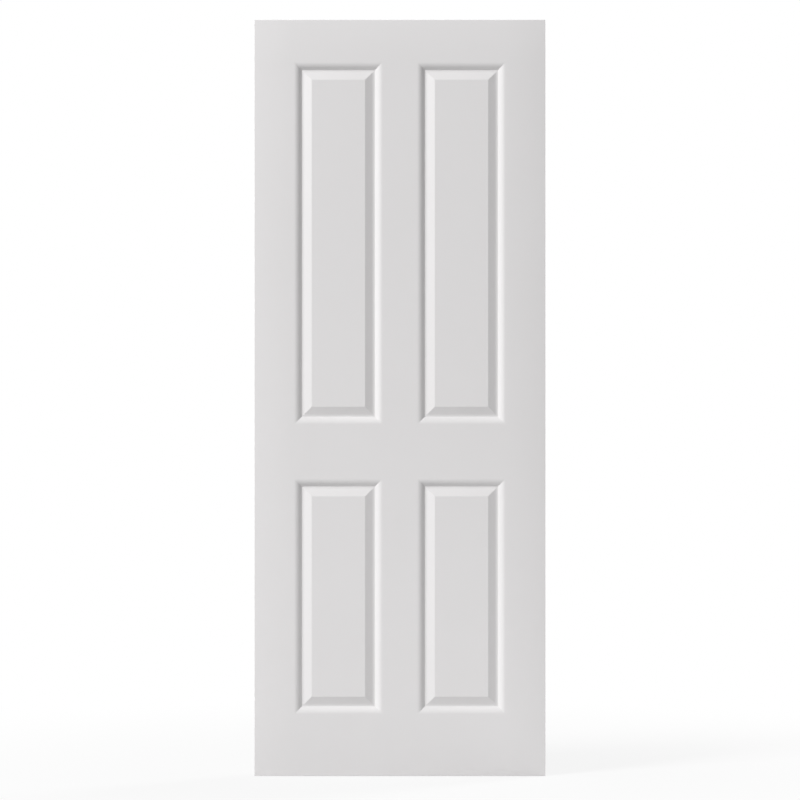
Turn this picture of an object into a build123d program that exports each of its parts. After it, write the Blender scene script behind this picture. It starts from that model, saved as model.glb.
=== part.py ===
"""Four-panel moulded fire door leaf, 762 x 1981 x 44 mm, as supplied: unhung and with no ironmongery.

Two pressed fibreboard facings, each one sheet with four raised-and-fielded panels, are glued to a
softwood frame of stiles and rails. Lock blocks stand against both stiles and three core boards fill
the rest. The boards are routed for the backs of the mouldings.

Millimetres. X runs from the hinge edge to the lock edge, Y from the front face to the back face and
Z up. The origin is on the hinge edge, at mid-thickness and at the foot of the leaf.
"""

import os
from math import atan2, cos, degrees, sin

from build123d import *

# The leaf: a standard 2 ft 6 in by 6 ft 6 in fire door
LEAF_WIDTH = 762.0
LEAF_HEIGHT = 1981.0
LEAF_THICKNESS = 44.0

# The moulded facings
FACING_THICKNESS = 3.2
ARRIS_RADIUS = 1.0  # on the long edges of each face

# Flat margins of a face, up to where the panel mouldings begin
STILE_FACE = 104.0
MUNTIN_FACE = 91.0
TOP_RAIL_FACE = 111.0
MIDDLE_RAIL_FACE = 143.0
BOTTOM_RAIL_FACE = 162.0
LOWER_PANEL_HEIGHT = 616.5

# The panel moulding: an ovolo falls to a groove, and a bevel rises through a cove to the flat field
OVOLO_WIDTH = 20.5
OVOLO_RUN = 7.0  # the straight part, above the groove
BEVEL_WIDTH = 26.0
BEVEL_RUN = 18.5  # the straight part, above the cove
GROOVE_DEPTH = 9.0
FIELD_DROP = 0.5  # how far the field lies below the face
GROOVE_RADIUS = 2.0  # in the groove, on the show side
FIELD_BEND_RADIUS = 0.6  # round the field, on the hidden side

# The softwood frame
STILE_WIDTH = 42.0
TOP_RAIL_HEIGHT = 75.0
BOTTOM_RAIL_HEIGHT = 110.0
LOCK_BLOCK_WIDTH = 60.0
LOCK_BLOCK_HEIGHT = 460.0
LOCK_BLOCK_CENTRE = 1000.0  # above the foot of the leaf, at handle height

# How far a cutter stands out of the face that it cuts
OVERCUT = 2.0

# Worked out from the sizes above
PANEL_WIDTH = (LEAF_WIDTH - 2 * STILE_FACE - MUNTIN_FACE) / 2
UPPER_PANEL_HEIGHT = (
    LEAF_HEIGHT - TOP_RAIL_FACE - MIDDLE_RAIL_FACE - BOTTOM_RAIL_FACE - LOWER_PANEL_HEIGHT
)
MOULDING_WIDTH = OVOLO_WIDTH + BEVEL_WIDTH

# The facing lies on this plane with its show side up: local X across the leaf, local Y up it
FRONT = Plane(origin=(0, -LEAF_THICKNESS / 2, 0), x_dir=(1, 0, 0), z_dir=(0, -1, 0))
BACK = Plane(origin=(LEAF_WIDTH, LEAF_THICKNESS / 2, 0), x_dir=(-1, 0, 0), z_dir=(0, 1, 0))


def panel_openings():
    """Centre, width and height of each panel on a face, outside its moulding."""
    lower_centre = BOTTOM_RAIL_FACE + LOWER_PANEL_HEIGHT / 2
    upper_centre = LEAF_HEIGHT - TOP_RAIL_FACE - UPPER_PANEL_HEIGHT / 2
    first_column = STILE_FACE + PANEL_WIDTH / 2
    return [
        ((first_column + column * (PANEL_WIDTH + MUNTIN_FACE), centre), PANEL_WIDTH, height)
        for column in (0, 1)
        for centre, height in ((lower_centre, LOWER_PANEL_HEIGHT), (upper_centre, UPPER_PANEL_HEIGHT))
    ]


def slope_and_radii(width, fall, run):
    """Slope of a straight run, in degrees, and the radii, added up, of the opposite arcs at its ends.

    The arcs and the run cross the width and the fall between them, and are level where they start and
    end. The tangent of half the slope is then the fall over the sum of the width and the run.
    """
    slope = 2 * atan2(fall, width + run)
    return degrees(slope), (width - run * cos(slope)) / sin(slope)


def moulding_section(set_back):
    """Section of what lies in front of a moulded surface: X in from the panel's edge, Y out of the face.

    The surface is a chain of tangent arcs and runs. At a set-back below the show side every arc keeps
    its centre and every run its length, so that the two sides of the pressed sheet are parallel.
    """
    ovolo_slope, ovolo_radii = slope_and_radii(OVOLO_WIDTH, GROOVE_DEPTH, OVOLO_RUN)
    bevel_slope, bevel_radii = slope_and_radii(BEVEL_WIDTH, GROOVE_DEPTH - FIELD_DROP, BEVEL_RUN)
    ovolo_radius = ovolo_radii - GROOVE_RADIUS
    field_edge_radius = FIELD_BEND_RADIUS + FACING_THICKNESS
    cove_radius = bevel_radii - field_edge_radius

    start = (0, -set_back)
    ovolo = JernArc(start, (1, 0), ovolo_radius - set_back, -ovolo_slope)
    fall = PolarLine(ovolo @ 1, OVOLO_RUN, -ovolo_slope)
    groove = JernArc(fall @ 1, fall % 1, GROOVE_RADIUS + set_back, ovolo_slope)
    cove = JernArc(groove @ 1, (1, 0), cove_radius + set_back, bevel_slope)
    bevel = PolarLine(cove @ 1, BEVEL_RUN, bevel_slope)
    field_edge = JernArc(bevel @ 1, bevel % 1, field_edge_radius - set_back, -bevel_slope)
    end = field_edge @ 1
    above = Polyline(end, (end.X, OVERCUT), (0, OVERCUT), start)
    return make_face([ovolo, fall, groove, cove, bevel, field_edge, above])


def carried_round(section, width, height):
    """Carries a section round the inside of a rectangle centred on the origin, mitred at its corners."""
    path = Polyline(
        (width / 2, -height / 2),
        (width / 2, height / 2),
        (-width / 2, height / 2),
        (-width / 2, -height / 2),
        close=True,
    )
    across_path = Plane(origin=path @ 0, x_dir=(-1, 0, 0), z_dir=(0, 1, 0))
    return sweep(across_path * section, path, transition=Transition.RIGHT)


def pressing(set_back):
    """What lies in front of the four moulded panels, down to a set-back below their show side."""
    section = moulding_section(set_back)
    depth = FIELD_DROP + set_back + OVERCUT
    panels = []
    for centre, width, height in panel_openings():
        moulding = carried_round(section, width, height)
        over_field = Pos(0, 0, OVERCUT - depth / 2) * Box(
            width - 2 * MOULDING_WIDTH, height - 2 * MOULDING_WIDTH, depth
        )
        panels.append(Pos(*centre, 0) * (moulding + over_field))
    return panels


def moulded_facing(punch, die):
    """One facing, show side up on XY: a flat sheet whose panels are pressed between punch and die."""
    middle = (LEAF_WIDTH / 2, LEAF_HEIGHT / 2, -FACING_THICKNESS / 2)
    sheet = Pos(*middle) * Box(LEAF_WIDTH, LEAF_HEIGHT, FACING_THICKNESS)
    pressed = sheet + die - punch
    show_face = pressed.faces().filter_by(Axis.Z).sort_by(Axis.Z)[-1]
    return fillet(show_face.outer_wire().edges().filter_by(Axis.Y), ARRIS_RADIUS)


def between_facings(left, right, foot, head, relief):
    """A board or lath between the facings, routed for the backs of their mouldings."""
    depth = LEAF_THICKNESS - 2 * FACING_THICKNESS
    centre = ((left + right) / 2, 0, (foot + head) / 2)
    return Pos(*centre) * Box(right - left, depth, head - foot) - relief


def inside_pieces(relief):
    """The frame, lock blocks and core boards, by name."""
    hinge_side = STILE_WIDTH
    lock_side = LEAF_WIDTH - STILE_WIDTH
    rail_top = BOTTOM_RAIL_HEIGHT
    rail_under = LEAF_HEIGHT - TOP_RAIL_HEIGHT
    block_foot = LOCK_BLOCK_CENTRE - LOCK_BLOCK_HEIGHT / 2
    block_head = LOCK_BLOCK_CENTRE + LOCK_BLOCK_HEIGHT / 2
    hinge_block = hinge_side + LOCK_BLOCK_WIDTH
    lock_block = lock_side - LOCK_BLOCK_WIDTH
    limits = {
        "hinge_stile": (0, hinge_side, 0, LEAF_HEIGHT),
        "lock_stile": (lock_side, LEAF_WIDTH, 0, LEAF_HEIGHT),
        "top_rail": (hinge_side, lock_side, rail_under, LEAF_HEIGHT),
        "bottom_rail": (hinge_side, lock_side, 0, rail_top),
        "hinge_side_block": (hinge_side, hinge_block, block_foot, block_head),
        "lock_side_block": (lock_block, lock_side, block_foot, block_head),
        "lower_core": (hinge_side, lock_side, rail_top, block_foot),
        "middle_core": (hinge_block, lock_block, block_foot, block_head),
        "upper_core": (hinge_side, lock_side, block_head, rail_under),
    }
    return {name: between_facings(*limit, relief) for name, limit in limits.items()}


def main():
    """Builds every piece and writes one STEP file for each."""
    punch = pressing(0)
    die = pressing(FACING_THICKNESS)
    facing = moulded_facing(punch, die)
    relief = [plane.location * panel for plane in (FRONT, BACK) for panel in die]
    pieces = {
        "front_facing": FRONT.location * facing,
        "back_facing": BACK.location * facing,
        **inside_pieces(relief),
    }
    os.makedirs("parts", exist_ok=True)
    for name, piece in pieces.items():
        export_step(piece, f"parts/{name}.step")


main()
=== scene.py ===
"""Looks of a four-panel moulded fire door leaf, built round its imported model.

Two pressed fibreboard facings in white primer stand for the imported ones, with the panel mouldings as
fine surfaces. The softwood stiles and rails show at the edges of the leaf, primed along the stiles and
left bare at the head and the foot. The lock blocks and core boards lie inside and only take a finish.

Metres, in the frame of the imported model: X runs from the hinge edge to the lock edge, Y from the front
face to the back face and Z up.
"""

import logging
from dataclasses import dataclass, field
from enum import Enum
from typing import Any

import bpy
import numpy as np
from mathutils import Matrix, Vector
from numpy.typing import NDArray


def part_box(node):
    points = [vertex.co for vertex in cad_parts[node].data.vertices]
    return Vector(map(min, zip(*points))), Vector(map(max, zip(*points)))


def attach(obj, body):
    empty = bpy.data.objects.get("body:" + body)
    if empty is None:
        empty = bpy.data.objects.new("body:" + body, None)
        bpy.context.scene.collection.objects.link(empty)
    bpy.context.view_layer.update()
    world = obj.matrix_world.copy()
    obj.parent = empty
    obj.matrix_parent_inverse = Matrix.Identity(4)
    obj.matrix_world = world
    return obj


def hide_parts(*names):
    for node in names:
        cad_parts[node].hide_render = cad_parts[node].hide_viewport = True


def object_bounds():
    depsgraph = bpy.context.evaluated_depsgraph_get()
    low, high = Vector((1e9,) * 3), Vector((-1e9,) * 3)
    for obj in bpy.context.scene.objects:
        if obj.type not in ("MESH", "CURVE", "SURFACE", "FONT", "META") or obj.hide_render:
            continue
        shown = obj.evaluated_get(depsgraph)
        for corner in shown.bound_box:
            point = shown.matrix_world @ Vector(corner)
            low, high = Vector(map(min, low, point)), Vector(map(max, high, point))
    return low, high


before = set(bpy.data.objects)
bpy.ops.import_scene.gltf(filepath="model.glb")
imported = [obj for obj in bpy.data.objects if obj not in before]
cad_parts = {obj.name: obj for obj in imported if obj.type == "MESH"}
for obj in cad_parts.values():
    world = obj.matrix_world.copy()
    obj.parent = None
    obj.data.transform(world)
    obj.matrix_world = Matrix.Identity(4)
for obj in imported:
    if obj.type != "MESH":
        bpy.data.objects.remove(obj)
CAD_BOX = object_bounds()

Points = NDArray[np.float64]
Indices = NDArray[np.int64]
Colour = tuple[float, float, float]
Socket = bpy.types.NodeSocket

LOG = logging.getLogger("fire_door_leaf")
BODY = "root"

LEAF_LOW = np.array(CAD_BOX[0])
LEAF_HIGH = np.array(CAD_BOX[1])
LEAF_SIZE = LEAF_HIGH - LEAF_LOW
LEAF_CENTRE = (LEAF_LOW + LEAF_HIGH) / 2

WHITE = (1.0, 1.0, 1.0, 1.0)
# Gloss of dry, unsealed surfaces, where 0.5 is a smooth coat's
DULL_GLOSS = 0.3
# Most values of a noise lie between these, about its mean
NOISE_SPREAD = (0.3, 0.7)
NOISE_MEAN = 0.5
# Edges that turn by more than this are shaded as sharp
SHARP_TURN = np.radians(40)
QUARTER_TURN = np.pi / 2
# The ways from a rectangle's centre to its corners, anticlockwise from the lower left one
CORNER_SIGNS = np.array([[-1, -1], [1, -1], [1, 1], [-1, 1]])


class Side(Enum):
    """The two faces of the leaf, by node."""

    FRONT = "front_facing"
    BACK = "back_facing"


class Grain(Enum):
    """The way that the grain of a timber runs, as the axis of its length."""

    ACROSS = 0
    UPRIGHT = 2


class Wiring:
    """Adds nodes to one node tree and links them."""

    def __init__(self, tree: bpy.types.NodeTree) -> None:
        """Takes the tree that the nodes go into."""
        self.tree = tree

    def add(self, kind: str, inputs: dict[Any, Any] | None = None, **settings: Any) -> bpy.types.Node:
        """Adds one node.

        Args:
            kind: Blender's name for the type of node.
            inputs: A value, or a socket to link from, for each input by name or number.
            settings: Properties of the node.

        Returns:
            The new node.
        """
        node = self.tree.nodes.new(kind)
        for name, value in settings.items():
            setattr(node, name, value)
        for key, value in (inputs or {}).items():
            if isinstance(value, Socket):
                self.tree.links.new(value, node.inputs[key])
            else:
                node.inputs[key].default_value = value
        return node

    def maths(self, operation: str, *values: Any) -> Socket:
        """Works out one step of arithmetic on values or sockets."""
        return self.add("ShaderNodeMath", dict(enumerate(values)), operation=operation).outputs[0]

    def vector(self, operation: str, *values: Any) -> Socket:
        """Works out one step of vector arithmetic that gives a vector."""
        return self.add("ShaderNodeVectorMath", dict(enumerate(values)), operation=operation).outputs[0]

    def mix(self, share: Any, first: Any, second: Any) -> Socket:
        """Mixes two colours: the first at a share of 0, the second at 1."""
        inputs = {"Factor": share, 6: first, 7: second}
        return self.add("ShaderNodeMix", inputs, data_type="RGBA").outputs[2]

    def blend(self, share: Any, first: Any, second: Any) -> Socket:
        """Mixes two values: the first at a share of 0, the second at 1."""
        return self.add("ShaderNodeMix", {0: share, 2: first, 3: second}, data_type="FLOAT").outputs[0]

    def ramp(self, value: Any, start: Any, end: Any, low: Any = 0.0, high: Any = 1.0) -> Socket:
        """Rises smoothly from low to high as a value goes from start to end."""
        inputs = {0: value, 1: start, 2: end, 3: low, 4: high}
        return self.add("ShaderNodeMapRange", inputs, interpolation_type="SMOOTHSTEP").outputs[0]

    def noise(self, vector: Socket, scale: Any, detail: float = 3.0) -> Socket:
        """Cloudy noise from 0 to 1, with so many blots to a metre."""
        inputs = {"Vector": vector, "Scale": scale, "Detail": detail}
        return self.add("ShaderNodeTexNoise", inputs).outputs[0]

    def stretched(self, vector: Socket, scale: tuple[float, float, float]) -> Socket:
        """Scales a pattern by a factor for each axis."""
        return self.vector("MULTIPLY", vector, scale)


class Effect:
    """A shader node group that several finishes share."""

    def __init__(self, name: str, inputs: dict[str, str], outputs: dict[str, str]) -> None:
        """Makes the group and its sockets.

        Args:
            name: The group's name.
            inputs: Kind of socket for each named input.
            outputs: Kind of socket for each named output.
        """
        self.tree = bpy.data.node_groups.new(name, "ShaderNodeTree")
        for label, kind in inputs.items():
            self.tree.interface.new_socket(label, in_out="INPUT", socket_type=kind)
        for label, kind in outputs.items():
            self.tree.interface.new_socket(label, in_out="OUTPUT", socket_type=kind)
        self.wire = Wiring(self.tree)
        self.given = self.wire.add("NodeGroupInput").outputs

    def give(self, **results: Socket) -> None:
        """Links what the group puts out, by name."""
        self.wire.add("NodeGroupOutput", results)

    def place(self, wire: Wiring, inputs: dict[str, Any]) -> bpy.types.Node:
        """Places the group in a material, with values or sockets for its inputs."""
        return wire.add("ShaderNodeGroup", inputs, node_tree=self.tree)


def primer_coat_effect() -> Effect:
    """Sprayed primer: a faint cloudiness in colour and sheen, over the fine peel that spraying leaves.

    Returns:
        A group that puts out Colour, Roughness and a Height from 0 to 1.
    """
    effect = Effect(
        "primer_coat",
        {
            "Vector": "NodeSocketVector",
            "Colour": "NodeSocketColor",
            "Shade": "NodeSocketColor",
            "Roughness": "NodeSocketFloat",
        },
        {"Colour": "NodeSocketColor", "Roughness": "NodeSocketFloat", "Height": "NodeSocketFloat"},
    )
    clouds_to_a_metre, specks_to_a_metre, ripples_to_a_metre = 5.0, 420.0, 900.0
    speck_tint, speck_height = 0.25, 0.35
    sheen_change = 0.05
    wire, given = effect.wire, effect.given
    clouds = wire.noise(given["Vector"], clouds_to_a_metre, detail=5.0)
    specks = wire.noise(given["Vector"], specks_to_a_metre, detail=2.0)
    peel = wire.noise(given["Vector"], ripples_to_a_metre, detail=2.0)
    tint = wire.blend(speck_tint, clouds, specks)
    sheen = wire.ramp(clouds, *NOISE_SPREAD, -sheen_change, sheen_change)
    effect.give(
        Colour=wire.mix(tint, given["Shade"], given["Colour"]),
        Roughness=wire.maths("ADD", given["Roughness"], sheen),
        Height=wire.blend(speck_height, peel, specks),
    )
    return effect


def overspray_effect() -> Effect:
    """Where primer reaches: the faces, the long edges, and raggedly a little way over the bare ends.

    The distance from the nearest primed plane of the leaf is the lesser of the distances from its long
    edges and from its faces. Noise, times the reach, is added to it and makes the limit ragged.

    Returns:
        A group that puts out a Mask, 1 where there is primer.
    """
    effect = Effect(
        "primer_overspray",
        {"Vector": "NodeSocketVector", "Reach": "NodeSocketFloat"},
        {"Mask": "NodeSocketFloat"},
    )
    tongues_to_a_metre, droplets_to_a_metre = 60.0, 500.0
    droplet_share = 0.5
    fade_end = 1.5  # in times the reach
    wire, given = effect.wire, effect.given
    from_centre = wire.vector("SUBTRACT", given["Vector"], tuple(LEAF_CENTRE))
    apart = wire.add("ShaderNodeSeparateXYZ", {0: wire.vector("ABSOLUTE", from_centre)}).outputs
    from_edge = wire.maths("SUBTRACT", LEAF_SIZE[0] / 2, apart[0])
    from_face = wire.maths("SUBTRACT", LEAF_SIZE[1] / 2, apart[1])
    distance = wire.maths("MINIMUM", from_edge, from_face)
    tongues = wire.noise(given["Vector"], tongues_to_a_metre)
    droplets = wire.noise(given["Vector"], droplets_to_a_metre)
    ragged = wire.blend(droplet_share, tongues, droplets)
    strayed = wire.maths("MULTIPLY_ADD", ragged, given["Reach"], distance)
    end = wire.maths("MULTIPLY", given["Reach"], fade_end)
    effect.give(Mask=wire.ramp(strayed, given["Reach"], end, 1.0, 0.0))
    return effect


def softwood_figure_effect() -> Effect:
    """Growth rings and fibres of softwood, for a position whose Z runs along the grain from the pith.

    A ring's phase is the fraction of the distance from the pith over the width of a ring. Latewood
    darkens through the later part of the phase and stops short at its end. Noise lets the rings wander,
    and fibres are noise drawn out along Z.

    Returns:
        A group that puts out Latewood and Fibre, both from 0 to 1.
    """
    effect = Effect(
        "softwood_figure",
        {"Vector": "NodeSocketVector", "Ring Width": "NodeSocketFloat", "Wander": "NodeSocketFloat"},
        {"Latewood": "NodeSocketFloat", "Fibre": "NodeSocketFloat"},
    )
    bends_to_a_metre = (14.0, 14.0, 1.6)
    fibres_to_a_metre = (1500.0, 1500.0, 25.0)
    latewood_start = 0.4  # in a ring's phase
    wire, given = effect.wire, effect.given
    bends = wire.noise(wire.stretched(given["Vector"], bends_to_a_metre), 1.0, detail=2.0)
    drift = wire.maths("SUBTRACT", bends, NOISE_MEAN)
    across = wire.stretched(given["Vector"], (1.0, 1.0, 0.0))
    radius = wire.add("ShaderNodeVectorMath", {0: across}, operation="LENGTH").outputs["Value"]
    strayed = wire.maths("MULTIPLY_ADD", drift, given["Wander"], radius)
    phase = wire.maths("FRACT", wire.maths("DIVIDE", strayed, given["Ring Width"]))
    fibres = wire.noise(wire.stretched(given["Vector"], fibres_to_a_metre), 1.0, detail=2.0)
    effect.give(Latewood=wire.ramp(phase, latewood_start, 1.0), Fibre=fibres)
    return effect


@dataclass(frozen=True)
class Effects:
    """The node groups, made once for all finishes."""

    primer_coat: Effect = field(default_factory=primer_coat_effect)
    overspray: Effect = field(default_factory=overspray_effect)
    softwood_figure: Effect = field(default_factory=softwood_figure_effect)


@dataclass(frozen=True)
class Coat:
    """What a finish shows at each point of a surface: sockets for colour, roughness and height."""

    colour: Socket
    roughness: Socket
    height: Socket


def new_material(name: str) -> tuple[bpy.types.Material, Wiring, Socket]:
    """Makes an empty material.

    Args:
        name: The material's name.

    Returns:
        The material, the wiring of its node tree, and the position on the piece.
    """
    material = bpy.data.materials.new(name)
    material.use_nodes = True
    material.node_tree.nodes.clear()
    wire = Wiring(material.node_tree)
    return material, wire, wire.add("ShaderNodeTexCoord").outputs["Object"]


def finish_material(wire: Wiring, coat: Coat, relief: float) -> None:
    """Ends a material in its shader.

    Args:
        wire: The material's wiring.
        coat: What the surface shows.
        relief: Depth of the coat's full height, in metres.
    """
    bump = wire.add("ShaderNodeBump", {"Height": coat.height, "Distance": relief})
    shader = wire.add(
        "ShaderNodeBsdfPrincipled",
        {
            "Base Color": coat.colour,
            "Roughness": coat.roughness,
            "Specular IOR Level": DULL_GLOSS,
            "Normal": bump.outputs[0],
        },
    )
    wire.add("ShaderNodeOutputMaterial", {"Surface": shader.outputs[0]})


def opaque(colour: Colour) -> tuple[float, float, float, float]:
    """Gives a colour its alpha."""
    return (*colour, 1.0)


@dataclass(frozen=True)
class PrimerFinish:
    """White factory primer, sprayed on the faces and the long edges."""

    colour: Colour = (0.705, 0.694, 0.697)
    shade: Colour = (0.682, 0.670, 0.671)
    roughness: float = 0.56
    peel: float = 0.000012  # depth of the coat's texture
    overspray: float = 0.0016  # reach over the bare ends

    def coat(self, effects: Effects, wire: Wiring, position: Socket) -> Coat:
        """Places the primer in a material.

        Args:
            effects: The shared node groups.
            wire: The material's wiring.
            position: The position on the piece.

        Returns:
            What the primer shows.
        """
        inputs = {
            "Vector": position,
            "Colour": opaque(self.colour),
            "Shade": opaque(self.shade),
            "Roughness": self.roughness,
        }
        made = effects.primer_coat.place(wire, inputs).outputs
        return Coat(made["Colour"], made["Roughness"], made["Height"])

    def over(self, effects: Effects, wire: Wiring, position: Socket, bare: Coat, bury: float) -> Coat:
        """Sprays the primer over a bare surface, as far as it reaches.

        Args:
            effects: The shared node groups.
            wire: The material's wiring.
            position: The position on the piece.
            bare: What shows where there is no primer.
            bury: Share of the bare surface's height that the primer hides.

        Returns:
            The surface with its primer.
        """
        primer = self.coat(effects, wire, position)
        inputs = {"Vector": position, "Reach": self.overspray}
        mask = effects.overspray.place(wire, inputs).outputs["Mask"]
        covered = wire.blend(bury, bare.height, primer.height)
        return Coat(
            wire.mix(mask, bare.colour, primer.colour),
            wire.blend(mask, bare.roughness, primer.roughness),
            wire.blend(mask, bare.height, covered),
        )

    def material(self, effects: Effects) -> bpy.types.Material:
        """Makes the material of the primed faces.

        Args:
            effects: The shared node groups.

        Returns:
            The material.
        """
        material, wire, position = new_material("white_primer")
        finish_material(wire, self.coat(effects, wire, position), self.peel)
        return material


@dataclass(frozen=True)
class FibreboardFinish:
    """Sawn edge of the pressed board: dense brown fibre, with primer strayed over it."""

    light: Colour = (0.36, 0.24, 0.14)
    dark: Colour = (0.20, 0.125, 0.07)
    fibres: tuple[float, float, float] = (160.0, 1400.0, 900.0)  # to a metre, along each axis
    clouds: float = 25.0  # to a metre
    cloud_share: float = 0.35
    roughness: float = 0.82
    sheen: float = 0.1  # how much smoother the smoothest fibres are
    fuzz: float = 0.00008
    buried: float = 0.6  # share of the fuzz that primer hides

    def material(self, effects: Effects, primer: PrimerFinish) -> bpy.types.Material:
        """Makes the material of the bare head and foot edges of a facing.

        Args:
            effects: The shared node groups.
            primer: What is sprayed on the faces beside them.

        Returns:
            The material.
        """
        material, wire, position = new_material("bare_fibreboard")
        fibres = wire.noise(wire.stretched(position, self.fibres), 1.0, detail=4.0)
        clouds = wire.noise(position, self.clouds)
        share = wire.ramp(wire.blend(self.cloud_share, fibres, clouds), *NOISE_SPREAD)
        rough = wire.ramp(fibres, *NOISE_SPREAD, self.roughness - self.sheen, self.roughness)
        bare = Coat(wire.mix(share, opaque(self.dark), opaque(self.light)), rough, fibres)
        finish_material(wire, primer.over(effects, wire, position, bare, self.buried), self.fuzz)
        return material


@dataclass(frozen=True)
class SoftwoodFinish:
    """Planed softwood, bare or with primer where it comes to a long edge of the leaf."""

    name: str
    grain: Grain
    pith: tuple[float, float, float]
    early: Colour = (0.66, 0.49, 0.30)
    late: Colour = (0.44, 0.265, 0.125)
    ring_width: float = 0.0034
    wander: float = 0.012
    fibre_spread: tuple[float, float] = (0.25, 0.75)  # fibre values of the lightest and darkest streaks
    streak: float = 0.22  # how much a fibre darkens or lightens
    fibre_height: float = 0.4  # share of the height that is fibres, beside rings
    roughness: float = 0.62
    sheen: float = 0.06  # how much a fibre changes the roughness
    relief: float = 0.00006
    buried: float = 0.75  # share of the relief that primer hides

    def material(self, effects: Effects, primer: PrimerFinish) -> bpy.types.Material:
        """Makes the material of one timber, with the pith of its own tree.

        Args:
            effects: The shared node groups.
            primer: What is sprayed on the long edges of the leaf.

        Returns:
            The material.
        """
        material, wire, position = new_material(self.name)
        from_pith = wire.vector("SUBTRACT", position, self.pith)
        turn = (0.0, -QUARTER_TURN, 0.0) if self.grain is Grain.ACROSS else (0.0, 0.0, 0.0)
        turned = wire.add("ShaderNodeMapping", {"Vector": from_pith, "Rotation": turn}).outputs[0]
        inputs = {"Vector": turned, "Ring Width": self.ring_width, "Wander": self.wander}
        figure = effects.softwood_figure.place(wire, inputs).outputs
        streak = wire.ramp(figure["Fibre"], *self.fibre_spread, -self.streak, self.streak)
        darkness = wire.maths("ADD", figure["Latewood"], streak)
        height = wire.blend(self.fibre_height, figure["Latewood"], figure["Fibre"])
        smoothest, roughest = self.roughness - self.sheen, self.roughness + self.sheen
        rough = wire.ramp(figure["Fibre"], *NOISE_SPREAD, smoothest, roughest)
        colour = wire.mix(darkness, opaque(self.early), opaque(self.late))
        bare = Coat(colour, rough, height)
        finish_material(wire, primer.over(effects, wire, position, bare, self.buried), self.relief)
        return material


@dataclass(frozen=True)
class CoreBoardFinish:
    """Low-density particle board: flakes of several browns, bound in resin."""

    light: Colour = (0.56, 0.42, 0.26)
    dark: Colour = (0.33, 0.22, 0.12)
    flakes: float = 320.0  # to a metre
    roughness: float = 0.85
    sheen: float = 0.1  # how much smoother the darkest flakes are
    relief: float = 0.0003

    def material(self) -> bpy.types.Material:
        """Makes the material of the boards inside the leaf.

        Returns:
            The material.
        """
        material, wire, position = new_material("particle_board")
        flake = wire.add("ShaderNodeTexVoronoi", {"Vector": position, "Scale": self.flakes}).outputs
        tone = wire.add("ShaderNodeSeparateColor", {0: flake["Color"]}).outputs[0]
        rough = wire.ramp(tone, 0.0, 1.0, self.roughness - self.sheen, self.roughness)
        colour = wire.mix(tone, opaque(self.dark), opaque(self.light))
        finish_material(wire, Coat(colour, rough, flake["Distance"]), self.relief)
        return material


class Shell:
    """Points and faces of one piece, gathered as whole arrays."""

    def __init__(self) -> None:
        """Starts with no points."""
        self.points: list[Points] = []
        self.polygons: list[tuple[Indices, int]] = []
        self.count = 0

    def add(self, points: Points) -> Indices:
        """Adds a block of points.

        Args:
            points: Points along the last axis, in a block of any shape.

        Returns:
            The points' numbers, in the block's shape.
        """
        numbers = self.count + np.arange(points[..., 0].size).reshape(points.shape[:-1])
        self.points.append(points.reshape(-1, 3))
        self.count += numbers.size
        return numbers

    def face(self, polygons: Indices, finish: int = 0) -> None:
        """Adds faces, given as corner numbers along the last axis, with the number of their finish."""
        self.polygons.append((polygons.reshape(-1, polygons.shape[-1]), finish))

    def piece(self, name: str, materials: list[bpy.types.Material]) -> bpy.types.Object:
        """Makes the object.

        Args:
            name: The piece's name.
            materials: A material for each number of finish.

        Returns:
            The object, linked to the scene with its place in its mesh.
        """
        corners = np.concatenate([block.ravel() for block, _ in self.polygons])
        sizes = np.concatenate([np.full(len(block), block.shape[1]) for block, _ in self.polygons])
        finishes = np.concatenate([np.full(len(block), finish) for block, finish in self.polygons])
        mesh = bpy.data.meshes.new(name)
        mesh.vertices.add(self.count)
        mesh.vertices.foreach_set("co", np.concatenate(self.points).ravel())
        mesh.loops.add(corners.size)
        mesh.loops.foreach_set("vertex_index", corners)
        mesh.polygons.add(sizes.size)
        mesh.polygons.foreach_set("loop_start", np.cumsum(sizes) - sizes)
        mesh.polygons.foreach_set("material_index", finishes)
        mesh.update(calc_edges=True)
        mesh.shade_smooth()
        mesh.set_sharp_from_angle(angle=SHARP_TURN)
        for material in materials:
            mesh.materials.append(material)
        made = bpy.data.objects.new(name, mesh)
        bpy.context.scene.collection.objects.link(made)
        return made


def strips(rings: Indices) -> Indices:
    """Quads between each closed ring of points and the ring after it."""
    following = np.roll(rings, -1, axis=1)
    return np.stack([rings[:-1], following[:-1], following[1:], rings[1:]], axis=-1)


def eased_rectangle(half: Points, ease: float, steps: int) -> Points:
    """Rectangles with eased corners, centred on the origin, anticlockwise from the lower left corner.

    Each corner is a quarter circle whose centre lies the radius in from the corner. The first one's angle
    starts at half a turn, and each next one's a quarter turn further on.

    Args:
        half: Half the width and height, along the last axis.
        ease: Radius of the corners.
        steps: Points to a corner.

    Returns:
        An array of half's shape with two axes more before the last: corners, and points of a corner.
    """
    centres = CORNER_SIGNS * (half - ease)[..., None, :]
    angles = np.pi + QUARTER_TURN * np.arange(4)[:, None] + np.linspace(0, QUARTER_TURN, steps)
    return centres[..., :, None, :] + ease * np.stack([np.cos(angles), np.sin(angles)], axis=-1)


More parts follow.
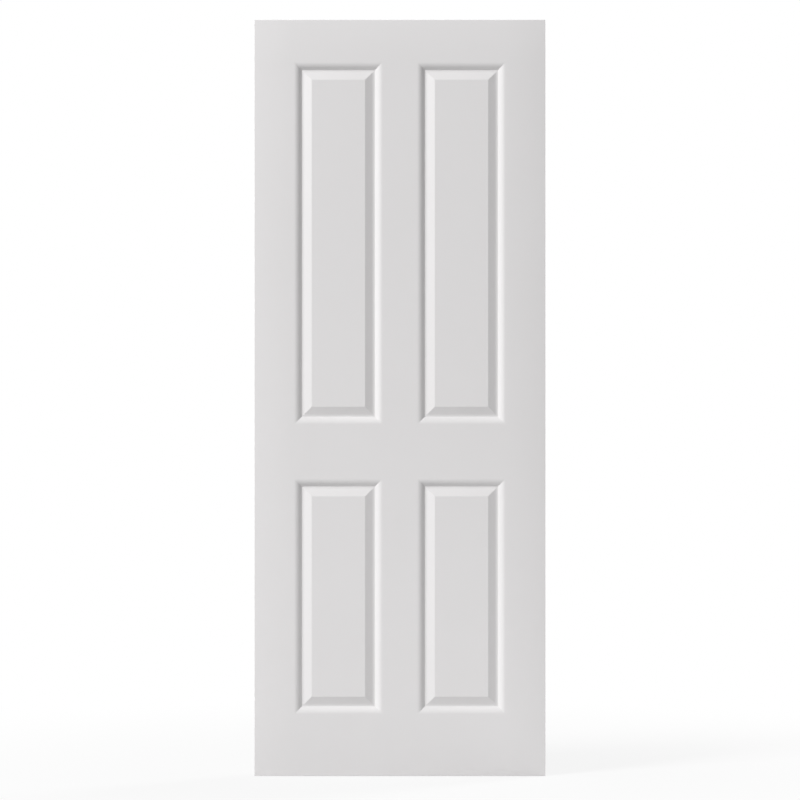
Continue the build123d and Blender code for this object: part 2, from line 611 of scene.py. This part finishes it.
@dataclass(frozen=True)
class Flank:
    """One side of a moulding's section: a straight run between two arcs that turn opposite ways."""

    width: float
    fall: float  # negative where the flank rises
    run: float
    last_radius: float

    def section(self, set_back: float, steps: int) -> Points:
        """Points along the flank, or along a line that lies parallel below it.

        As both ends lie level, the tangent of half the run's slope is the fall over the sum of the width
        and the run, and the radii add up to what is left of the width over the sine of the slope. On an
        arc of radius R the inset grows by R times the change in the sine of the heading, and the depth by
        R times the fall in its cosine. Below the show side an arc keeps its centre, so a convex one loses
        the set-back from its radius and a hollow one gains it.

        Args:
            set_back: Distance below the show side.
            steps: Parts that each arc is divided into.

        Returns:
            Rows of inset and depth from the flank's start.
        """
        slope = 2 * np.arctan2(self.fall, self.width + self.run)
        run = self.run * np.array([np.cos(slope), np.sin(slope)])
        radii = (self.width - run[0]) / np.sin(slope)
        last_radius = np.sign(self.fall) * self.last_radius
        heading = np.linspace(0, slope, steps + 1)
        arc = np.stack([np.sin(heading), 1 - np.cos(heading)], axis=1)
        first = (radii - last_radius - set_back) * arc
        last = (last_radius + set_back) * (arc[-1] - arc[::-1])
        return np.concatenate([first, first[-1] + run + last])


@dataclass(frozen=True)
class PanelMoulding:
    """The moulding round a panel: an ovolo falls to a groove, and a bevel rises through a cove."""

    ovolo_width: float = 0.0205
    ovolo_run: float = 0.007
    bevel_width: float = 0.026
    bevel_run: float = 0.0185
    groove_depth: float = 0.009
    field_drop: float = 0.0005
    groove_radius: float = 0.002
    field_edge_radius: float = 0.0038
    steps: int = 12

    def section(self, set_back: float) -> Points:
        """Points along the moulded surface, or along one that lies parallel below it.

        Args:
            set_back: Distance below the show side.

        Returns:
            Rows of inset from the panel's edge and depth below the face.
        """
        rise = self.groove_depth - self.field_drop
        ovolo = Flank(self.ovolo_width, self.groove_depth, self.ovolo_run, self.groove_radius)
        bevel = Flank(self.bevel_width, -rise, self.bevel_run, self.field_edge_radius)
        falling = ovolo.section(set_back, self.steps) + np.array([0.0, set_back])
        rising = falling[-1] + bevel.section(set_back, self.steps)[1:]
        return np.concatenate([falling, rising])


@dataclass(frozen=True)
class FaceLayout:
    """Flat margins of a face, up to where the panel mouldings begin."""

    stile: float = 0.104
    muntin: float = 0.091
    top_rail: float = 0.111
    middle_rail: float = 0.143
    bottom_rail: float = 0.162
    lower_panel: float = 0.6165

    def columns(self) -> Points:
        """Works out where the panels start and end across the leaf.

        Returns:
            A row of start and end for the left panels, and one for the right.
        """
        panel = (LEAF_SIZE[0] - 2 * self.stile - self.muntin) / 2
        starts = self.stile + np.arange(2) * (panel + self.muntin)
        return np.stack([starts, starts + panel], axis=1)

    def rows(self) -> Points:
        """Works out where the panels start and end up the leaf.

        Returns:
            A row of start and end for the lower panels, and one for the upper.
        """
        lower_head = self.bottom_rail + self.lower_panel
        upper_foot = lower_head + self.middle_rail
        return np.array([[self.bottom_rail, lower_head], [upper_foot, LEAF_SIZE[2] - self.top_rail]])


def perimeter(lattice: NDArray[Any]) -> NDArray[Any]:
    """The outer entries of a lattice, anticlockwise from its lower left corner."""
    return np.concatenate([lattice[:-1, 0], lattice[-1, :-1], lattice[:0:-1, -1], lattice[0, :0:-1]])


@dataclass(frozen=True)
class MouldedFacing:
    """One pressed sheet with its four panels.

    It is worked out lying on the front face, as distance across, distance up and depth. The back one is
    the front one turned half round the upright middle line of the leaf.
    """

    side: Side
    moulding: PanelMoulding = field(default_factory=PanelMoulding)
    layout: FaceLayout = field(default_factory=FaceLayout)
    thickness: float = 0.0032
    arris: float = 0.0010
    arris_steps: int = 6
    mitre_ease: float = 0.0009
    mitre_steps: int = 7
    flat_border: float = 0.003  # flat strip beside a moulding

    def placed(self, across: Points, up: Points, depth: Points | float) -> Points:
        """Turns distances on the face into points of the frame.

        Args:
            across: Distances from the left edge, as the face is seen.
            up: Distances from the foot.
            depth: Depths below the face.

        Returns:
            Points along the last axis.
        """
        across, up, depth = np.broadcast_arrays(across, up, depth)
        if self.side is Side.FRONT:
            return np.stack([LEAF_LOW[0] + across, LEAF_LOW[1] + depth, LEAF_LOW[2] + up], axis=-1)
        return np.stack([LEAF_HIGH[0] - across, LEAF_HIGH[1] - depth, LEAF_LOW[2] + up], axis=-1)

    def flat_lattice(self, margin: float, depth: float) -> Points:
        """Points of the flat part, on lines just outside the panels' limits.

        Args:
            margin: How far the outer lines lie from the leaf's edge.
            depth: Depth below the face.

        Returns:
            Points by number of the line across and of the line up.
        """
        outset = self.flat_border * np.array([-1, 1])
        columns = (self.layout.columns() + outset).ravel()
        rows = (self.layout.rows() + outset).ravel()
        across = np.concatenate([[margin], columns, [LEAF_SIZE[0] - margin]])
        up = np.concatenate([[margin], rows, [LEAF_SIZE[2] - margin]])
        return self.placed(across[:, None], up[None, :], depth)

    @staticmethod
    def outward(set_back: float) -> int:
        """The step through a face's corners that turns it outward: backwards on the hidden side."""
        return 1 if set_back == 0 else -1

    def surface(self, shell: Shell, set_back: float, margin: float, finish: int) -> Indices:
        """Adds the show side, or the hidden side parallel to it.

        It is a flat lattice with a panel in every second cell, both across and up.

        Args:
            shell: The piece that takes the faces.
            set_back: 0 for the show side, or the depth of the hidden one.
            margin: How far the surface stops short of the leaf's edge.
            finish: Number of the finish.

        Returns:
            The points of its outer edge, anticlockwise.
        """
        lattice = shell.add(self.flat_lattice(margin, set_back))
        corners = [lattice[:-1, :-1], lattice[1:, :-1], lattice[1:, 1:], lattice[:-1, 1:]]
        cells = np.stack(corners, axis=-1)
        flat = np.ones(cells.shape[:2], bool)
        flat[1::2, 1::2] = False
        shell.face(cells[flat][:, :: self.outward(set_back)], finish)
        for column, across in enumerate(self.layout.columns()):
            for row, up in enumerate(self.layout.rows()):
                opening = cells[2 * column + 1, 2 * row + 1]
                limits = np.stack([across, up])
                self.panel(shell, opening, limits, set_back, finish)
        return perimeter(lattice)

    def panel(
        self, shell: Shell, opening: Indices, limits: Points, set_back: float, finish: int
    ) -> None:
        """Adds the moulding and the field of one panel inside the four corners of its cell.

        The section is carried round the rectangle of the panel's edge and mitred at corners that are
        slightly eased: a ring for each of its points, drawn in by the inset and at the depth.

        Args:
            shell: The piece that takes the faces.
            opening: The corners of the panel's cell in the flat part.
            limits: Where the panel starts and ends, across and up.
            set_back: 0 for the show side, or the depth of the hidden one.
            finish: Number of the finish.
        """
        centre, half = limits.mean(axis=1), np.ptp(limits, axis=1) / 2
        section = self.moulding.section(set_back)
        outlines = centre + eased_rectangle(half - section[:, :1], self.mitre_ease, self.mitre_steps)
        outlines = outlines.reshape(len(section), -1, 2)
        rings = shell.add(self.placed(outlines[..., 0], outlines[..., 1], section[:, 1:]))
        inner = centre + CORNER_SIGNS * (half - section[-1, 0] - self.flat_border)
        flat_field = shell.add(self.placed(inner[:, 0], inner[:, 1], section[-1, 1]))
        order = self.outward(set_back)
        shell.face(strips(rings)[..., ::order], finish)
        shell.face(flat_field[None, ::order], finish)
        for corners, ring, way in ((opening, rings[0], order), (flat_field, rings[-1], -order)):
            arcs = ring.reshape(len(corners), -1)
            tips = np.repeat(corners[:, None], self.mitre_steps - 1, axis=1)
            fans = np.stack([tips, arcs[:, 1:], arcs[:, :-1]], axis=-1)
            between = [corners, np.roll(corners, -1), np.roll(arcs[:, 0], -1), arcs[:, -1]]
            shell.face(fans[..., ::way], finish)
            shell.face(np.stack(between, axis=-1)[..., ::way], finish)

    def build(self, primer: bpy.types.Material, board: bpy.types.Material) -> bpy.types.Object:
        """Makes the facing: show side, hidden side, and the edge between them with its rounded arris.

        The arris is a quarter circle carried round the outline: at angle t the outline is drawn in by
        the radius times 1 less the sine of t, and lies at the radius times 1 less the cosine.

        Args:
            primer: The material of the show side, the arris and the long edges.
            board: The material of the head and foot edges and the hidden side.

        Returns:
            The piece.
        """
        shell = Shell()
        show = self.surface(shell, 0.0, self.arris, 0)
        hidden = self.surface(shell, self.thickness, 0.0, 1)
        angles = np.linspace(0, QUARTER_TURN, self.arris_steps + 1)[1:]
        margins = self.arris * (1 - np.sin(angles))
        depths = self.arris * (1 - np.cos(angles))
        around = [perimeter(self.flat_lattice(*place)) for place in zip(margins, depths)]
        arris = shell.add(np.stack(around))
        shell.face(strips(np.concatenate([show[None], arris]))[..., ::-1], 0)
        edge = strips(np.stack([arris[-1], hidden]))[0, :, ::-1]
        foot, lock, head, hinge = np.split(edge, 4)
        shell.face(np.concatenate([foot, head]), 1)
        shell.face(np.concatenate([lock, hinge]), 0)
        return shell.piece(f"{self.side.value}_moulded", [primer, board])


@dataclass(frozen=True)
class Timber:
    """A stile or rail: an eased rectangle carried along the grain, and drawn in at both sawn ends."""

    node: str
    grain: Grain
    ease: float = 0.00025
    ease_steps: int = 4

    def build(self, material: bpy.types.Material) -> bpy.types.Object:
        """Makes the timber in the box of its node.

        The axes are taken in turn, with the grain's last. Near an end the section is drawn in by the ease
        times 1 less the sine of an angle, at a distance from the end of the ease times 1 less its cosine,
        through a quarter turn.

        Args:
            material: The timber's material.

        Returns:
            The piece.
        """
        low, high = (np.array(corner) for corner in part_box(self.node))
        order = np.roll(np.arange(3), 2 - self.grain.value)
        low, high = low[order], high[order]
        angle = np.linspace(0, QUARTER_TURN, self.ease_steps)
        drawn_in = self.ease * (1 - np.sin(angle))
        along = self.ease * (1 - np.cos(angle))
        insets = np.concatenate([drawn_in, drawn_in[::-1]])
        places = np.concatenate([low[2] + along, (high[2] - along)[::-1]])
        half = (high - low)[:2] / 2 - insets[:, None]
        outlines = eased_rectangle(half, self.ease, self.ease_steps).reshape(len(insets), -1, 2)
        outlines = outlines + (low + high)[:2] / 2
        heights = np.broadcast_to(places[:, None, None], (*outlines.shape[:2], 1))
        points = np.concatenate([outlines, heights], axis=-1)
        shell = Shell()
        rings = shell.add(points[..., np.argsort(order)])
        shell.face(strips(rings))
        shell.face(rings[:1, ::-1])
        shell.face(rings[-1:])
        return shell.piece(f"{self.node}_planed", [material])


@dataclass(frozen=True)
class Leaf:
    """The whole leaf, piece by piece."""

    primer: PrimerFinish = field(default_factory=PrimerFinish)
    fibreboard: FibreboardFinish = field(default_factory=FibreboardFinish)
    core: CoreBoardFinish = field(default_factory=CoreBoardFinish)
    timbers: tuple[tuple[str, Grain, tuple[float, float, float]], ...] = (
        ("hinge_stile", Grain.UPRIGHT, (0.070, 0.030, 0.0)),
        ("lock_stile", Grain.UPRIGHT, (0.715, -0.048, 0.0)),
        ("top_rail", Grain.ACROSS, (0.0, 0.012, 1.880)),
        ("bottom_rail", Grain.ACROSS, (0.0, -0.016, 0.140)),
    )
    blocks: tuple[tuple[str, tuple[float, float, float]], ...] = (
        ("hinge_side_block", (0.095, 0.050, 0.0)),
        ("lock_side_block", (0.650, -0.055, 0.0)),
    )
    boards: tuple[str, ...] = ("lower_core", "middle_core", "upper_core")

    def build(self) -> None:
        """Makes the pieces that show, and dresses the ones inside."""
        effects = Effects()
        self.build_facings(effects)
        self.build_timbers(effects)
        self.dress_filling(effects)

    def build_facings(self, effects: Effects) -> None:
        """Makes both facings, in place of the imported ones.

        Args:
            effects: The shared node groups.
        """
        primed = self.primer.material(effects)
        bare = self.fibreboard.material(effects, self.primer)
        for side in Side:
            mount(MouldedFacing(side).build(primed, bare), side.value)

    def build_timbers(self, effects: Effects) -> None:
        """Makes the stiles and rails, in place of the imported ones.

        Args:
            effects: The shared node groups.
        """
        for node, grain, pith in self.timbers:
            finish = SoftwoodFinish(f"softwood_{node}", grain, pith)
            piece = Timber(node, grain).build(finish.material(effects, self.primer))
            mount(piece, node)

    def dress_filling(self, effects: Effects) -> None:
        """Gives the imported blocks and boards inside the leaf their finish.

        Args:
            effects: The shared node groups.
        """
        for node, pith in self.blocks:
            finish = SoftwoodFinish(f"softwood_{node}", Grain.UPRIGHT, pith)
            dress(node, finish.material(effects, self.primer))
        particle_board = self.core.material()
        for node in self.boards:
            dress(node, particle_board)


def mount(piece: bpy.types.Object, node: str) -> None:
    """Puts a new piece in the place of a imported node, and reports it.

    Args:
        piece: The piece, with its place in its mesh.
        node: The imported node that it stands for.
    """
    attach(piece, BODY)
    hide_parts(node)
    LOG.info("made %s: %d faces", piece.name, len(piece.data.polygons))


def dress(node: str, material: bpy.types.Material) -> None:
    """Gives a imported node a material, and reports it.

    Args:
        node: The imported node.
        material: What it is dressed in.
    """
    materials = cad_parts[node].data.materials
    materials.clear()
    materials.append(material)
    LOG.info("dressed %s", node)


@dataclass(frozen=True)
class Lamp:
    """A square soft lamp that is aimed at the middle of the leaf."""

    name: str
    towards: tuple[float, float, float]
    distance: float
    side: float
    power: float

    def build(self) -> None:
        """Puts the lamp in the scene."""
        light = bpy.data.lights.new(self.name, "AREA")
        light.size = self.side
        light.energy = self.power
        direction = Vector(self.towards).normalized()
        lamp = bpy.data.objects.new(self.name, light)
        lamp.location = Vector(LEAF_CENTRE) + direction * self.distance
        lamp.rotation_euler = direction.to_track_quat("Z", "Y").to_euler()
        bpy.context.scene.collection.objects.link(lamp)


@dataclass(frozen=True)
class PhotoFraming:
    """Where the leaf's outline lies in the photograph, in pixels of its square frame."""

    frame_side: float = 800.0
    left: float = 253.9
    right: float = 545.95
    head: float = 19.8
    foot: float = 776.05
    lens: float = 135.0
    sensor: float = 36.0

    def build(self) -> None:
        """Puts a level camera straight before the leaf, where the leaf fills its outline.

        The frame's height on the front face is the leaf's, times the frame's pixels over the outline's.
        The distance is that height times the lens over the sensor.
        """
        scale = LEAF_SIZE[2] / (self.foot - self.head)
        aside = (self.frame_side / 2 - (self.left + self.right) / 2) * scale
        below = (self.frame_side / 2 - (self.head + self.foot) / 2) * scale
        data = bpy.data.cameras.new("photo_camera")
        data.sensor_width = self.sensor
        data.lens = self.lens
        camera = bpy.data.objects.new("photo_camera", data)
        away = self.frame_side * scale * self.lens / self.sensor
        camera.location = (LEAF_CENTRE[0] + aside, LEAF_LOW[1] - away, LEAF_CENTRE[2] - below)
        camera.rotation_euler = (QUARTER_TURN, 0.0, 0.0)
        bpy.context.scene.collection.objects.link(camera)
        bpy.context.scene.camera = camera


@dataclass(frozen=True)
class Studio:
    """Plain soft light, and a pale floor that fades into a white surround."""

    key: Lamp = Lamp("front_key", towards=(-0.65, -0.51, 0.57), distance=16.0, side=4.6, power=2820.0)
    back_key: Lamp = Lamp("back_key", towards=(0.74, 0.58, 0.26), distance=16.0, side=4.6, power=2500.0)
    fill: float = 0.31  # strength of the surround as it lights
    floor_colour: Colour = (0.60, 0.60, 0.60)
    floor_half_side: float = 2.2
    floor_shows: float = 0.16  # share of the floor's own shade that is seen at the leaf
    floor_fade: tuple[float, float] = (0.4, 2.1)  # from the leaf's middle, where it starts and ends

    def seen_directly(self, wire: Wiring) -> Socket:
        """Tells rays that show the surround as it is: from the camera, a gloss or a glass.

        Args:
            wire: The wiring of the floor's material or of the surround.

        Returns:
            1 for such rays, or else 0.
        """
        ray = wire.add("ShaderNodeLightPath").outputs
        reflected = wire.maths("MAXIMUM", ray["Is Glossy Ray"], ray["Is Transmission Ray"])
        return wire.maths("MAXIMUM", ray["Is Camera Ray"], reflected)

    def build_world(self) -> None:
        """Makes the surround: white as it is seen, and softer as it lights."""
        world = bpy.data.worlds.new("white_surround")
        world.use_nodes = True
        world.node_tree.nodes.clear()
        wire = Wiring(world.node_tree)
        soft = wire.add("ShaderNodeBackground", {"Color": WHITE, "Strength": self.fill})
        white = wire.add("ShaderNodeBackground", {"Color": WHITE, "Strength": 1.0})
        inputs = {0: self.seen_directly(wire), 1: soft.outputs[0], 2: white.outputs[0]}
        mixed = wire.add("ShaderNodeMixShader", inputs)
        wire.add("ShaderNodeOutputWorld", {"Surface": mixed.outputs[0]})
        bpy.context.scene.world = world

    def floor_material(self) -> bpy.types.Material:
        """Makes a pale floor that shows its shadow near the leaf and is white further off.

        Returns:
            The material.
        """
        material, wire, position = new_material("pale_floor")
        pale = wire.add("ShaderNodeBsdfDiffuse", {"Color": opaque(self.floor_colour)})
        white = wire.add("ShaderNodeEmission", {"Color": WHITE, "Strength": 1.0})
        from_leaf = wire.vector("SUBTRACT", position, (LEAF_CENTRE[0], LEAF_CENTRE[1], 0.0))
        distance = wire.add("ShaderNodeVectorMath", {0: from_leaf}, operation="LENGTH").outputs["Value"]
        whiteness = wire.ramp(distance, *self.floor_fade, 1.0 - self.floor_shows, 1.0)
        share = wire.maths("MULTIPLY", whiteness, self.seen_directly(wire))
        mixed = wire.add("ShaderNodeMixShader", {0: share, 1: pale.outputs[0], 2: white.outputs[0]})
        wire.add("ShaderNodeOutputMaterial", {"Surface": mixed.outputs[0]})
        return material

    def build_floor(self) -> None:
        """Lays the floor under the foot of the leaf."""
        shell = Shell()
        corners = CORNER_SIGNS * self.floor_half_side
        level = np.full((len(corners), 1), LEAF_LOW[2])
        shell.face(shell.add(np.concatenate([corners, level], axis=1))[None])
        shell.piece("floor", [self.floor_material()])

    def build(self) -> None:
        """Builds the surround, the floor and the lamps, and sets the plain view."""
        self.build_world()
        self.build_floor()
        self.key.build()
        self.back_key.build()
        bpy.context.scene.view_settings.view_transform = "Standard"


def main() -> None:
    """Builds the leaf, its camera and its studio."""
    logging.basicConfig(level=logging.INFO, format="%(message)s")
    PhotoFraming().build()
    Leaf().build()
    Studio().build()


if __name__ == "__main__":
    main()
